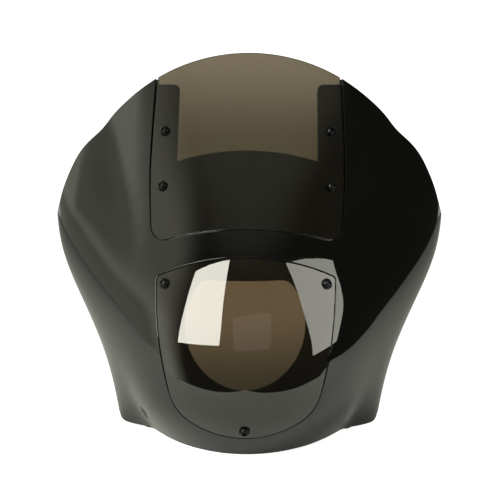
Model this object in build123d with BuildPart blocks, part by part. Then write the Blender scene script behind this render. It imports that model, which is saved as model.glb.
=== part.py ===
from build123d import *
import math
import os

from scipy.interpolate import CubicSpline

# Headlight cowl of a motorcycle: a moulded shell with a smoked windscreen and a smoked lens let in flush.
# Millimetres, +Z up, nose towards -Y, symmetric about X = 0, standing on its chin and its two lower bosses.

# Form of the outer surface at a few heights: a rounded dome in front of a wider pair of wings
FORM_HEIGHT = (0, 40, 85, 150, 205, 255, 300, 345, 450)
DOME_FRONT = (-80, -111, -117, -102, -79.5, -50, -18, 18, 102)
DOME_RADIUS = (61, 85, 108, 120, 121, 132, 152, 180, 240)
WING_FRONT = (18, -42, -91, -90, -40, 3, 36, 66, 150)
WING_REAR = (62, 71, 79, 86, 93, 106, 130, 160, 230)
WING_HALF_WIDTH = (153, 161, 174, 202, 224, 232, 234, 230, 215)
WING_FULLNESS = (0.50, 0.56, 0.66, 0.70, 0.62, 0.50, 0.50, 0.50, 0.50)
VALLEY_BLEND = (16, 20, 20, 18, 22, 18, 16, 14, 12)

# Shell and its edges, in the front view as (x, z) and in the side view as (y, z)
WALL = 3.2
TOP_HEIGHT = 440.0
TOP_ARC_RADIUS = 216.0
TOP_ARC_HALF = 140.0
EAR_EDGE = ((165, 364), (176, 350), (191, 336), (203, 322), (214, 301), (222, 280), (229, 255))
EAR_FOOT = (236, 226)
LEG_CORNER = (154, 4)
LEG_CORNER_RADIUS = 9.0
LEG_SIDE = (163, 40)
CHIN_HALF = 70.0
REAR_EDGE_FOOT = (84, 0)
REAR_EDGE_TOP = (127, 300)

# Flush panels, each in a stepped pocket of the shell
PANEL_THICKNESS = 3.0
PANEL_GAP = 0.9
PANEL_SEAT_GAP = 0.2
SCREEN_HALF_WIDTH = 108.0
SCREEN_BOTTOM = 248.5
SCREEN_BOTTOM_RADIUS = 292.0
SCREEN_CORNER_RADIUS = 14.0
LENS_TOP = 219.0
LENS_TOP_RADIUS = 208.0
LENS_HALF_WIDTH = 99.0
LENS_SIDE_RADIUS = 480.0
LENS_BOTTOM = 24.5
LENS_BOTTOM_RADIUS = 125.0
LENS_UPPER_CORNER_RADIUS = 5.0
LENS_LOWER_CORNER_RADIUS = 50.0

# Openings in the shell behind the panels
POST_WIDTH = 26.0
POST_TOP = 404.0
POST_CORNER_RADIUS = 6.0
NOTCH_FLOOR = 332.0
NOTCH_FLOOR_RADIUS = 255.0
LAMP_HOLE_RADIUS = 68.0
LAMP_HOLE_HEIGHT = 149.0
LAMP_HOLE_FLAT = 20.0
LAMP_HOLE_CORNER_RADIUS = 16.0

# Button head screws with washers and lock nuts
SCREEN_SCREW_INSET = 12.0
SCREEN_SCREW_HEIGHTS = (350.0, 290.0)
LENS_SCREW_INSET = 9.5
LENS_SCREW_DROP = 5.5
THREAD_RADIUS = 3.0
THREAD_CLEARANCE = 0.05
HOLE_CLEARANCE = 0.3
HEAD_RADIUS = 5.25
HEAD_HEIGHT = 3.3
HEAD_RIM = 0.8
HEAD_FLAT_RADIUS = 2.9
SOCKET_FLATS = 4.0
SOCKET_DEPTH = 2.0
WASHER_RADIUS = 6.2
WASHER_THICKNESS = 1.2
WASHER_SEAT_GAP = 0.2
WASHER_BACK_GAP = 0.45
NUT_FLATS = 10.0
NUT_HEX_HEIGHT = 4.4
NUT_COLLAR_RADIUS = 4.7
NUT_COLLAR_HEIGHT = 1.6
SCREW_END = 1.5

# Bosses for the fork brackets, each with a threaded insert
BOSS_RADIUS = 7.0
LOWER_BOSS_X = 117.0
LOWER_BOSS_FACE = 50.0
UPPER_BOSS_X = 132.0
UPPER_BOSS_HEIGHT = 214.0
UPPER_BOSS_FACE = 12.0
INSERT_RADIUS = 4.2
INSERT_THREAD_RADIUS = 2.5
INSERT_LENGTH = 10.0
INSERT_PROUD = 0.4
INSERT_CLEARANCE = 0.05

# Working sizes: how far cuts run past the part, and the net of points that the surface passes through
BEYOND = 60.0
BLOCK_DEPTH = 420.0
NET_START = -24.0
NET_STEP = 20.0
NET_ROWS = 26
NET_POINTS_PER_SIDE = 12
NET_TOLERANCE = 0.05


def by_height(values):
    return CubicSpline(FORM_HEIGHT, values, bc_type="natural")


dome_front = by_height(DOME_FRONT)
dome_radius = by_height(DOME_RADIUS)
wing_front = by_height(WING_FRONT)
wing_rear = by_height(WING_REAR)
wing_half_width = by_height(WING_HALF_WIDTH)
wing_fullness = by_height(WING_FULLNESS)
valley_blend = by_height(VALLEY_BLEND)


def surface_y(x, z):
    """Where the outer surface lies, front to back, at a place in the front view."""
    across = min(abs(x) / float(wing_half_width(z)), 1.0)
    dome = dome_front(z) + x * x / (2 * dome_radius(z)) * (1 + across**6)
    wing = wing_rear(z) - (wing_rear(z) - wing_front(z)) * (1 - across**2) ** wing_fullness(z)
    return float((dome + wing - math.hypot(dome - wing, valley_blend(z))) / 2)


def section_point(turn, z):
    """A point of the section at height z: turn runs from -90 degrees at one rim to 90 at the other."""
    x = float(wing_half_width(z)) * math.sin(math.radians(turn))
    return Vector(x, surface_y(x, z), z)


def inset_point(turn, z, inset):
    """The same point moved level into the wall, by so much that the wall keeps its thickness where it leans."""
    inner_turn = max(min(turn, 89.0), -89.0)
    along = section_point(inner_turn + 0.5, z) - section_point(inner_turn - 0.5, z)
    inward = Vector(-along.Y, along.X).normalized()
    if abs(turn) == 90:
        inward = Vector(-math.copysign(1, turn), 0)
    lean = (section_point(turn, z + 0.5) - section_point(turn, z - 0.5)).dot(inward)
    return section_point(turn, z) + inward * (inset * math.hypot(1, lean))


def block(inset):
    """The cowl as a filled block: its outer surface, moved in by the inset, run back past the rear edge."""
    turns = [90 * step / NET_POINTS_PER_SIDE for step in range(-NET_POINTS_PER_SIDE, NET_POINTS_PER_SIDE + 1)]
    heights = [NET_START + NET_STEP * row for row in range(NET_ROWS)]
    net = [[inset_point(turn, height, inset) for turn in turns] for height in heights]
    skin = Face.make_surface_from_array_of_points(net, tol=NET_TOLERANCE, min_deg=3, max_deg=3)
    with BuildPart() as filled:
        extrude(skin, amount=BLOCK_DEPTH, dir=(0, 1, 0))
    return filled.part


def prism(sketch):
    """A front view outline run right through the part along Y, from behind it to before it."""
    behind = max(WING_REAR) + BEYOND
    before = BEYOND - min(DOME_FRONT)
    with BuildPart() as run:
        extrude(sketch.moved(Location((0, behind, 0))), amount=behind + before)
    return run.part


def seat(x, z):
    """A plane on the outer surface with its normal pointing out of the cowl, for a screw."""
    slope_x = (surface_y(x + 0.1, z) - surface_y(x - 0.1, z)) / 0.2
    slope_z = (surface_y(x, z + 0.1) - surface_y(x, z - 0.1)) / 0.2
    return Plane((x, surface_y(x, z), z), x_dir=(1, slope_x, 0), z_dir=(slope_x, -1, slope_z))


def drop(radius, half_chord):
    """How far an arc falls from its middle to its end."""
    return radius - math.sqrt(radius**2 - half_chord**2)


def lower_meeting(left_centre, left_radius, right_centre, right_radius):
    """The lower place where two circles in the front view meet."""
    between = right_centre - left_centre
    along = (left_radius**2 - right_radius**2 + between.length**2) / (2 * between.length)
    aside = math.sqrt(left_radius**2 - along**2)
    way = between.normalized()
    return left_centre + way * along + Vector(way.Y, -way.X) * aside


# Outlines in the front view
arc_end = (TOP_ARC_HALF, TOP_HEIGHT - drop(TOP_ARC_RADIUS, TOP_ARC_HALF))
lens_corner_height = LENS_TOP - drop(LENS_TOP_RADIUS, LENS_HALF_WIDTH)
lens_side_centre = Vector(LENS_HALF_WIDTH - LENS_SIDE_RADIUS, lens_corner_height)
lens_bottom_centre = Vector(0, LENS_BOTTOM + LENS_BOTTOM_RADIUS)
lens_foot = lower_meeting(lens_side_centre, LENS_SIDE_RADIUS, lens_bottom_centre, LENS_BOTTOM_RADIUS)
screen_corner_height = SCREEN_BOTTOM - drop(SCREEN_BOTTOM_RADIUS, SCREEN_HALF_WIDTH)
notch_half_width = SCREEN_HALF_WIDTH - POST_WIDTH
notch_corner_height = NOTCH_FLOOR - drop(NOTCH_FLOOR_RADIUS, notch_half_width)
pocket_half_width = SCREEN_HALF_WIDTH + PANEL_GAP
lamp_hole_top = LAMP_HOLE_HEIGHT + LAMP_HOLE_RADIUS - LAMP_HOLE_FLAT
above = TOP_HEIGHT + BEYOND

with BuildSketch(Plane.XZ) as front_outline:
    with BuildLine():
        crown = RadiusArc((0, TOP_HEIGHT), arc_end, TOP_ARC_RADIUS)
        Spline(arc_end, *EAR_EDGE, EAR_FOOT, tangents=(crown % 1, (0, -1)))
        Polyline(EAR_FOOT, LEG_SIDE, LEG_CORNER, (CHIN_HALF, 0), (0, 0))
        mirror(about=Plane.YZ)
    make_face()
    fillet(front_outline.vertices().filter_by(lambda v: abs(v.Y - LEG_CORNER[1]) < 0.01), LEG_CORNER_RADIUS)

with BuildSketch(Plane.XZ) as screen_outline:
    with BuildLine():
        RadiusArc((0, SCREEN_BOTTOM), (SCREEN_HALF_WIDTH, screen_corner_height), SCREEN_BOTTOM_RADIUS)
        Polyline((SCREEN_HALF_WIDTH, screen_corner_height), (SCREEN_HALF_WIDTH, above), (0, above))
        mirror(about=Plane.YZ)
    make_face()
    fillet(screen_outline.vertices().group_by(Axis.Y)[0], SCREEN_CORNER_RADIUS)

with BuildSketch(Plane.XZ) as lens_outline:
    with BuildLine():
        RadiusArc((0, LENS_TOP), (LENS_HALF_WIDTH, lens_corner_height), LENS_TOP_RADIUS)
        RadiusArc((LENS_HALF_WIDTH, lens_corner_height), lens_foot, LENS_SIDE_RADIUS)
        RadiusArc(lens_foot, (0, LENS_BOTTOM), LENS_BOTTOM_RADIUS)
        mirror(about=Plane.YZ)
    make_face()
    upper_corners = lens_outline.vertices().filter_by(lambda v: abs(v.Y - lens_corner_height) < 0.01)
    fillet(upper_corners, LENS_UPPER_CORNER_RADIUS)
    lower_corners = lens_outline.vertices().filter_by(lambda v: abs(v.Y - lens_foot.Y) < 0.01)
    fillet(lower_corners, LENS_LOWER_CORNER_RADIUS)

with BuildSketch(Plane.XZ) as pockets:
    add(screen_outline.sketch)
    add(lens_outline.sketch)
    offset(amount=PANEL_GAP)

with BuildSketch(Plane.XZ) as pocket_backs:
    add(screen_outline.sketch)
    add(lens_outline.sketch)
    offset(amount=PANEL_GAP + WALL)

with BuildSketch(Plane.XZ) as notch_outline:
    with BuildLine():
        RadiusArc((0, NOTCH_FLOOR), (notch_half_width, notch_corner_height), NOTCH_FLOOR_RADIUS)
        Polyline(
            (notch_half_width, notch_corner_height),
            (notch_half_width, POST_TOP),
            (pocket_half_width, POST_TOP),
            (pocket_half_width, above),
            (0, above),
        )
        mirror(about=Plane.YZ)
    make_face()
    post_tops = notch_outline.vertices().filter_by(lambda v: abs(v.Y - POST_TOP) < 0.01)
    fillet(post_tops.filter_by(lambda v: abs(v.X) < pocket_half_width - 0.01), POST_CORNER_RADIUS)

with BuildSketch(Plane.XZ) as lamp_hole_outline:
    with Locations((0, LAMP_HOLE_HEIGHT)):
        Circle(LAMP_HOLE_RADIUS)
    with Locations((0, lamp_hole_top)):
        Rectangle(3 * LAMP_HOLE_RADIUS, LAMP_HOLE_RADIUS, align=(Align.CENTER, Align.MIN), mode=Mode.SUBTRACT)
    fillet(lamp_hole_outline.vertices(), LAMP_HOLE_CORNER_RADIUS)

# Outline in the side view: everything before the rear edge
with BuildSketch(Plane.YZ) as side_outline:
    before = min(DOME_FRONT) - BEYOND
    Polygon(
        (before, -BEYOND),
        (REAR_EDGE_FOOT[0], -BEYOND),
        REAR_EDGE_FOOT,
        REAR_EDGE_TOP,
        (REAR_EDGE_TOP[0], above),
        (before, above),
        align=None,
    )

with BuildPart() as envelope:
    reach = max(WING_HALF_WIDTH) + BEYOND
    extrude(side_outline.sketch.moved(Location((-reach, 0, 0))), amount=2 * reach)
    add(prism(front_outline.sketch), mode=Mode.INTERSECT)

# Screw seats, and the depths of what each screw passes through, measured in from the outer surface
screen_seats = [
    seat(side * (SCREEN_HALF_WIDTH - SCREEN_SCREW_INSET), height)
    for height in SCREEN_SCREW_HEIGHTS
    for side in (-1, 1)
]
lens_seats = [
    seat(LENS_SCREW_INSET - LENS_HALF_WIDTH, lens_corner_height - LENS_SCREW_DROP),
    seat(LENS_HALF_WIDTH - LENS_SCREW_INSET, lens_corner_height - LENS_SCREW_DROP),
    seat(0, LENS_BOTTOM + LENS_SCREW_INSET),
]
pocket_depth = PANEL_THICKNESS + PANEL_SEAT_GAP
shell_back = pocket_depth + WALL
back_washer_top = shell_back + WASHER_BACK_GAP
nut_top = back_washer_top + WASHER_THICKNESS
screw_tip = nut_top + NUT_HEX_HEIGHT + NUT_COLLAR_HEIGHT + SCREW_END
head_seat = WASHER_SEAT_GAP + WASHER_THICKNESS

# Moulded shell, with its pockets, openings, bosses and screw holes
boss_places = [
    (-LOWER_BOSS_X, LOWER_BOSS_FACE, BOSS_RADIUS),
    (LOWER_BOSS_X, LOWER_BOSS_FACE, BOSS_RADIUS),
    (-UPPER_BOSS_X, UPPER_BOSS_FACE, UPPER_BOSS_HEIGHT),
    (UPPER_BOSS_X, UPPER_BOSS_FACE, UPPER_BOSS_HEIGHT),
]
boss_faces = [Plane(place, x_dir=(-1, 0, 0), z_dir=(0, 1, 0)) for place in boss_places]

with BuildPart() as pocket_cut:
    add(prism(pockets.sketch))
    add(block(pocket_depth), mode=Mode.SUBTRACT)

with BuildPart() as pocket_step:
    add(prism(pocket_backs.sketch))
    add(block(shell_back), mode=Mode.SUBTRACT)

with BuildPart() as cavity:
    add(block(WALL))
    add(pocket_step.part, mode=Mode.SUBTRACT)

with BuildPart() as bosses:
    with Locations(*boss_faces):
        Cylinder(BOSS_RADIUS, BLOCK_DEPTH, align=(Align.CENTER, Align.CENTER, Align.MAX))
    add(block(WALL / 2), mode=Mode.INTERSECT)

with BuildPart() as cowl_shell:
    add(block(0))
    add(envelope.part, mode=Mode.INTERSECT)
    add(pocket_cut.part, mode=Mode.SUBTRACT)
    add(cavity.part, mode=Mode.SUBTRACT)
    add(prism(notch_outline.sketch), mode=Mode.SUBTRACT)
    add(prism(lamp_hole_outline.sketch), mode=Mode.SUBTRACT)
    add(bosses.part)
    with Locations(*boss_faces):
        Hole(INSERT_RADIUS + INSERT_CLEARANCE, INSERT_LENGTH - INSERT_PROUD + INSERT_CLEARANCE)
    with Locations(*screen_seats, *lens_seats):
        Cylinder(THREAD_RADIUS + HOLE_CLEARANCE, 2 * screw_tip, mode=Mode.SUBTRACT)
cowl_shell.part.label = "cowl_shell"

# Smoked panels, cut from the same surface and flush with it
with BuildPart() as windscreen:
    add(block(0))
    add(prism(screen_outline.sketch), mode=Mode.INTERSECT)
    add(envelope.part, mode=Mode.INTERSECT)
    add(block(PANEL_THICKNESS), mode=Mode.SUBTRACT)
    with Locations(*screen_seats):
        Cylinder(THREAD_RADIUS + HOLE_CLEARANCE, 2 * screw_tip, mode=Mode.SUBTRACT)
windscreen.part.label = "windscreen"

with BuildPart() as headlight_lens:
    add(block(0))
    add(prism(lens_outline.sketch), mode=Mode.INTERSECT)
    add(block(PANEL_THICKNESS), mode=Mode.SUBTRACT)
    with Locations(*lens_seats):
        Cylinder(THREAD_RADIUS + HOLE_CLEARANCE, 2 * screw_tip, mode=Mode.SUBTRACT)
headlight_lens.part.label = "headlight_lens"

# One of each fastener, made at the origin with its seat's normal along +Z
with BuildPart() as screw:
    with BuildSketch(Plane.XZ):
        with BuildLine():
            rim = (HEAD_RADIUS, head_seat + HEAD_RIM)
            flat = (HEAD_FLAT_RADIUS, head_seat + HEAD_HEIGHT)
            Polyline((0, head_seat + HEAD_HEIGHT), (0, -screw_tip), (THREAD_RADIUS, -screw_tip))
            Polyline((THREAD_RADIUS, -screw_tip), (THREAD_RADIUS, head_seat), (HEAD_RADIUS, head_seat), rim)
            RadiusArc(rim, flat, -HEAD_RADIUS)
            Line(flat, (0, head_seat + HEAD_HEIGHT))
        make_face()
    revolve(axis=Axis.Z)
    with BuildSketch(Plane.XY.offset(head_seat + HEAD_HEIGHT)):
        RegularPolygon(SOCKET_FLATS / 2, 6, major_radius=False)
    extrude(amount=-SOCKET_DEPTH, mode=Mode.SUBTRACT)

with BuildPart() as washer:
    Cylinder(WASHER_RADIUS, WASHER_THICKNESS, align=(Align.CENTER, Align.CENTER, Align.MIN))
    Hole(THREAD_RADIUS + HOLE_CLEARANCE)

with BuildPart() as lock_nut:
    with BuildSketch():
        RegularPolygon(NUT_FLATS / 2, 6, major_radius=False)
    extrude(amount=-NUT_HEX_HEIGHT)
    with Locations((0, 0, -NUT_HEX_HEIGHT)):
        Cylinder(NUT_COLLAR_RADIUS, NUT_COLLAR_HEIGHT, align=(Align.CENTER, Align.CENTER, Align.MAX))
    Hole(THREAD_RADIUS + THREAD_CLEARANCE)

with BuildPart() as insert:
    Cylinder(INSERT_RADIUS, INSERT_LENGTH, align=(Align.CENTER, Align.CENTER, Align.MAX))
    Hole(INSERT_THREAD_RADIUS)


def at_seats(fastener, seats, height, label):
    """A group of the same fastener, one on each seat, at a height above the seat."""
    with BuildPart() as group:
        with Locations(*[place.offset(height) for place in seats]):
            add(fastener)
    group.part.label = label
    return group


windscreen_screws = at_seats(screw.part, screen_seats, 0, "windscreen_screws")
windscreen_washers = at_seats(washer.part, screen_seats, WASHER_SEAT_GAP, "windscreen_washers")
windscreen_back_washers = at_seats(washer.part, screen_seats, -nut_top, "windscreen_back_washers")
windscreen_lock_nuts = at_seats(lock_nut.part, screen_seats, -nut_top, "windscreen_lock_nuts")
lens_screws = at_seats(screw.part, lens_seats, 0, "lens_screws")
lens_washers = at_seats(washer.part, lens_seats, WASHER_SEAT_GAP, "lens_washers")
lens_back_washers = at_seats(washer.part, lens_seats, -nut_top, "lens_back_washers")
lens_lock_nuts = at_seats(lock_nut.part, lens_seats, -nut_top, "lens_lock_nuts")
bracket_inserts = at_seats(insert.part, boss_faces, INSERT_PROUD, "bracket_inserts")

pieces = (
    cowl_shell,
    windscreen,
    headlight_lens,
    windscreen_screws,
    windscreen_washers,
    windscreen_back_washers,
    windscreen_lock_nuts,
    lens_screws,
    lens_washers,
    lens_back_washers,
    lens_lock_nuts,
    bracket_inserts,
)
os.makedirs("parts", exist_ok=True)
for piece in pieces:
    export_step(piece.part, f"parts/{piece.part.label}.step")
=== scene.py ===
import math

import bmesh
import bpy
import numpy as np
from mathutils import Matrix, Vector
from mathutils.geometry import delaunay_2d_cdt


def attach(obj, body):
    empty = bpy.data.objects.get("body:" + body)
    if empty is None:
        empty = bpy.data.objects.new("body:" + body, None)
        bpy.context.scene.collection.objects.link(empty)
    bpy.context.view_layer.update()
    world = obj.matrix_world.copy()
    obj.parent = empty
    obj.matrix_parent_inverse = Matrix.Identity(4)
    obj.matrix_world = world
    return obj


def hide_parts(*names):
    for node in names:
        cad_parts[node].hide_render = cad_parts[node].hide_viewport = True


# A motorcycle headlight cowl in gloss black with a smoked windscreen and a smoked lens let in flush.
# Sizes are in millimetres up to the meshes, which are in metres. +Z is up and the nose points towards -Y.

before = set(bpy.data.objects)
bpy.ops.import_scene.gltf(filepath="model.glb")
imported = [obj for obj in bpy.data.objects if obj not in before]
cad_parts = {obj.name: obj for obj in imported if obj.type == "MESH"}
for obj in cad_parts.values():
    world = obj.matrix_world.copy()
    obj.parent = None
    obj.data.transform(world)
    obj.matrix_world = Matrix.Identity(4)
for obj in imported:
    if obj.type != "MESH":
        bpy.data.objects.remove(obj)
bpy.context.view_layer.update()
scene = bpy.context.scene
MM = 0.001

# Form of the outer surface at a few heights: a rounded dome in front of a wider pair of wings
FORM_HEIGHT = (0, 40, 85, 150, 205, 255, 300, 345, 450)
DOME_FRONT = (-80, -111, -117, -102, -79.5, -50, -18, 18, 102)
DOME_RADIUS = (61, 85, 108, 120, 121, 132, 152, 180, 240)
WING_FRONT = (18, -42, -91, -90, -40, 3, 36, 66, 150)
WING_REAR = (62, 71, 79, 86, 93, 106, 130, 160, 230)
WING_HALF_WIDTH = (153, 161, 174, 202, 224, 232, 234, 230, 215)
WING_FULLNESS = (0.50, 0.56, 0.66, 0.70, 0.62, 0.50, 0.50, 0.50, 0.50)
VALLEY_BLEND = (16, 20, 20, 18, 22, 18, 16, 14, 12)

# Shell and its edges
WALL = 3.2
TOP_HEIGHT = 440.0
TOP_ARC_RADIUS = 216.0
TOP_ARC_HALF = 140.0
EAR_EDGE = ((165, 364), (176, 350), (191, 336), (203, 322), (214, 301), (222, 280), (229, 255))
EAR_FOOT = (236, 226)
LEG_CORNER = (154, 4)
LEG_CORNER_RADIUS = 9.0
LEG_CORNER_START = -87.0
CHIN_HALF = 70.0
REAR_EDGE_FOOT = (84, 0)
REAR_EDGE_TOP = (127, 300)

# Flush panels and the openings behind them
PANEL_THICKNESS = 3.0
PANEL_GAP = 0.9
PANEL_SEAT_GAP = 0.2
POCKET_RUN_OUT = 20.0
OPEN_HEIGHT = TOP_HEIGHT + POCKET_RUN_OUT
SCREEN_HALF_WIDTH = 108.0
SCREEN_BOTTOM = 248.5
SCREEN_BOTTOM_RADIUS = 292.0
SCREEN_CORNER_RADIUS = 14.0
LENS_TOP = 219.0
LENS_TOP_RADIUS = 208.0
LENS_HALF_WIDTH = 99.0
LENS_SIDE_RADIUS = 480.0
LENS_BOTTOM = 24.5
LENS_BOTTOM_RADIUS = 125.0
LENS_UPPER_CORNER_RADIUS = 5.0
LENS_LOWER_CORNER_RADIUS = 50.0
POST_WIDTH = 26.0
POST_TOP = 404.0
POST_CORNER_RADIUS = 6.0
NOTCH_FLOOR = 332.0
NOTCH_FLOOR_RADIUS = 255.0
LAMP_HOLE_RADIUS = 68.0
LAMP_HOLE_HEIGHT = 149.0
LAMP_HOLE_FLAT = 20.0
LAMP_HOLE_CORNER_RADIUS = 16.0

# Fasteners and bosses
SCREEN_SCREW_INSET = 12.0
SCREEN_SCREW_HEIGHTS = (350.0, 290.0)
LENS_SCREW_INSET = 9.5
LENS_SCREW_DROP = 5.5
THREAD_RADIUS = 3.0
THREAD_PITCH = 1.0
THREAD_DEPTH = 0.35
THREAD_TURNS_SHOWN = 3
TIP_CHAMFER = 0.6
TIP_LENGTH = 0.3
HOLE_RADIUS = 3.3
HEAD_RADIUS = 5.25
HEAD_HEIGHT = 3.3
HEAD_RIM = 0.8
HEAD_FLAT_RADIUS = 2.9
HEAD_BULGE = 0.62
HEAD_EASE = 0.15
SOCKET_FLATS = 4.0
SOCKET_DEPTH = 2.0
SOCKET_CHAMFER = 0.2
SOCKET_POINT = 0.5
WASHER_RADIUS = 6.2
WASHER_THICKNESS = 1.2
WASHER_EASE = 0.15
WASHER_SEAT_GAP = 0.2
WASHER_BACK_GAP = 0.45
NUT_FLATS = 10.0
NUT_HEX_HEIGHT = 4.4
NUT_BORE_GAP = 0.05
NUT_CORNER_INSET = 0.1
NUT_CORNER_DROP = 0.45
NUT_COLLAR_RADIUS = 4.7
NUT_COLLAR_HEIGHT = 1.6
NUT_COLLAR_EASE = 0.5
SCREW_END = 1.5
BOSS_RADIUS = 7.0
BOSS_ROUNDING = 0.8
BOSS_ROOT = 0.6 * WALL
LOWER_BOSS = (117.0, 50.0, 7.0)
UPPER_BOSS = (132.0, 12.0, 214.0)
INSERT_RADIUS = 4.2
INSERT_THREAD_RADIUS = 2.5
INSERT_LENGTH = 10.0
INSERT_PROUD = 0.4
INSERT_FIT = 0.05
INSERT_EASE = 0.2
INSERT_MOUTH = 0.4
FIRST_TWIST = 0.4
NEXT_TWIST = 1.7

# How fine the meshes are
NET_STEP = 3.2
NET_ROW = NET_STEP * 0.87
NET_CLEAR = NET_STEP * 0.62
NET_MERGE = 1e-4
EDGE_STEP = 2.6
WIDE_CORNER_STEP = 1.2
CORNER_STEP = 1.0
TIGHT_CORNER_STEP = 0.8
SHORTEST_STEP = 0.05
EAR_POINTS = 240
REAR_EDGE_POINTS = 120
HEAD_RINGS = 9
HOLE_TURNS = np.radians(np.arange(0, 360, 15))
BOSS_TURNS = np.radians(np.arange(0, 360, 7.5))
FASTENER_SEGMENTS = 48
RING_MERGE = 1e-6
FLAT_FACE = 1e-7

# How round the moulded edges are, and the angle from which an edge stays sharp
RIM_ROUNDING = 0.9
POCKET_ROUNDING = 0.7
PANEL_ROUNDING = 0.45
ARC_MIDDLE = 0.293
MOULDED_CREASE = math.radians(50)
TURNED_CREASE = math.radians(38)

# The net reaches the rim at SPAN, and runs straight back by SIDE_RUN for each SPAN past it
SPAN = 320.0
SIDE_RUN = 200.0

# Which way a face of the wall looks, and which part of the wall it is
OUTWARD, INWARD = 1, -1
OUTER_FACE, INNER_FACE, SIDE_FACE = range(3)

pocket_depth = PANEL_THICKNESS + PANEL_SEAT_GAP
shell_back = pocket_depth + WALL
nut_top = shell_back + WASHER_BACK_GAP + WASHER_THICKNESS
screw_tip = nut_top + NUT_HEX_HEIGHT + NUT_COLLAR_HEIGHT + SCREW_END
head_seat = WASHER_SEAT_GAP + WASHER_THICKNESS


# The surface

def cubic_spline(knots, values, end_slopes=None):
    """A cubic spline through the values, with free ends or with given slopes at its ends."""
    knots = np.asarray(knots, float)
    values = np.asarray(values, float)
    gaps = np.diff(knots)
    rises = np.diff(values) / gaps
    count = len(knots)
    system = np.zeros((count, count))
    right = np.zeros(count)
    system[0, 0] = system[-1, -1] = 1
    for i in range(1, count - 1):
        system[i, i - 1 : i + 2] = gaps[i - 1], 2 * (gaps[i - 1] + gaps[i]), gaps[i]
        right[i] = 6 * (rises[i] - rises[i - 1])
    if end_slopes:
        system[0, :2] = 2 * gaps[0], gaps[0]
        right[0] = 6 * (rises[0] - end_slopes[0])
        system[-1, -2:] = gaps[-1], 2 * gaps[-1]
        right[-1] = 6 * (end_slopes[1] - rises[-1])
    bends = np.linalg.solve(system, right)

    def at(place):
        place = np.asarray(place, float)
        i = np.clip(np.searchsorted(knots, place) - 1, 0, count - 2)
        before = place - knots[i]
        after = knots[i + 1] - place
        gap = gaps[i]
        curve = (bends[i] * after**3 + bends[i + 1] * before**3) / (6 * gap)
        start = values[i] / gap - bends[i] * gap / 6
        end = values[i + 1] / gap - bends[i + 1] * gap / 6
        return curve + (start * after + end * before)

    return at


dome_front = cubic_spline(FORM_HEIGHT, DOME_FRONT)
dome_radius = cubic_spline(FORM_HEIGHT, DOME_RADIUS)
wing_front = cubic_spline(FORM_HEIGHT, WING_FRONT)
wing_rear = cubic_spline(FORM_HEIGHT, WING_REAR)
wing_half_width = cubic_spline(FORM_HEIGHT, WING_HALF_WIDTH)
wing_fullness = cubic_spline(FORM_HEIGHT, WING_FULLNESS)
valley_blend = cubic_spline(FORM_HEIGHT, VALLEY_BLEND)


def surface(net):
    """Points of the outer surface at net points (s, z), where s runs across and z is the height."""
    s, z = net[..., 0], net[..., 1]
    turn = np.clip(s / SPAN, -1, 1) * math.pi / 2
    across = np.abs(np.sin(turn))
    x = wing_half_width(z) * np.sin(turn)
    dome = dome_front(z) + x**2 / (2 * dome_radius(z)) * (1 + across**6)
    reach = np.maximum(np.cos(turn), 0) ** (2 * wing_fullness(z))
    wing = wing_rear(z) - (wing_rear(z) - wing_front(z)) * reach
    y = (dome + wing - np.hypot(dome - wing, valley_blend(z))) / 2
    y = y + SIDE_RUN * np.maximum(np.abs(s) / SPAN - 1, 0)
    return np.stack([x, y, z], axis=-1)


def surface_slopes(net):
    """The surface's two directions at net points: along s and along z."""
    step = 0.05
    along_s = (surface(net + [step, 0]) - surface(net - [step, 0])) / (2 * step)
    along_z = (surface(net + [0, step]) - surface(net - [0, step])) / (2 * step)
    return along_s, along_z


def surface_normal(net):
    """The outward direction at net points."""
    along_s, along_z = surface_slopes(net)
    normal = np.cross(along_s, along_z)
    return normal / np.linalg.norm(normal, axis=-1, keepdims=True)


def front(x, z):
    """Net points of places in the front view."""
    x, z = np.broadcast_arrays(np.asarray(x, float), np.asarray(z, float))
    share = np.clip(x / wing_half_width(z), -1, 1)
    return np.stack([np.arcsin(share) / (math.pi / 2) * SPAN, z], axis=-1)


# Outlines, each a closed list of net points

def arc(centre, radius, start, end, step=EDGE_STEP):
    """Points of an arc in the front view, from one angle to another, in degrees."""
    count = max(3, int(abs(math.radians(end - start)) * radius / step) + 1)
    angles = np.radians(np.linspace(start, end, count))
    return np.stack([centre[0] + radius * np.cos(angles), centre[1] + radius * np.sin(angles)], axis=-1)


def angle_of(point, centre):
    """The direction from a centre to a point, in degrees."""
    return math.degrees(math.atan2(point[1] - centre[1], point[0] - centre[0]))


def mirrored(right):
    """A closed outline from its right half, which runs from one point on the middle plane to another."""
    left = right[::-1] * [-1, 1]
    return np.concatenate([right, left])


def spaced(points):
    """A closed outline with points added on its long runs and taken out where they crowd."""
    out = []
    for here, ahead in zip(points, np.roll(points, -1, axis=0)):
        length = float(np.hypot(*(ahead - here)))
        if length < SHORTEST_STEP:
            continue
        count = max(1, round(length / EDGE_STEP))
        out += [here + (ahead - here) * part / count for part in range(count)]
    return np.array(out)


def outline(front_points):
    """A closed outline of net points from points in the front view."""
    return spaced(front(front_points[:, 0], front_points[:, 1]))


def drop(radius, half_chord):
    """How far an arc falls from its middle to the end of its chord."""
    return radius - math.sqrt(radius**2 - half_chord**2)


lens_corner_height = LENS_TOP - drop(LENS_TOP_RADIUS, LENS_HALF_WIDTH)


def meeting(first, first_reach, second, second_reach):
    """Where two circles meet, to the right of the way from the first centre to the second."""
    between = Vector(second) - Vector(first)
    along = (first_reach**2 - second_reach**2 + between.length_squared) / (2 * between.length)
    aside = math.sqrt(first_reach**2 - along**2)
    way = between.normalized()
    return Vector(first) + way * along + Vector((way.y, -way.x)) * aside


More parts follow.
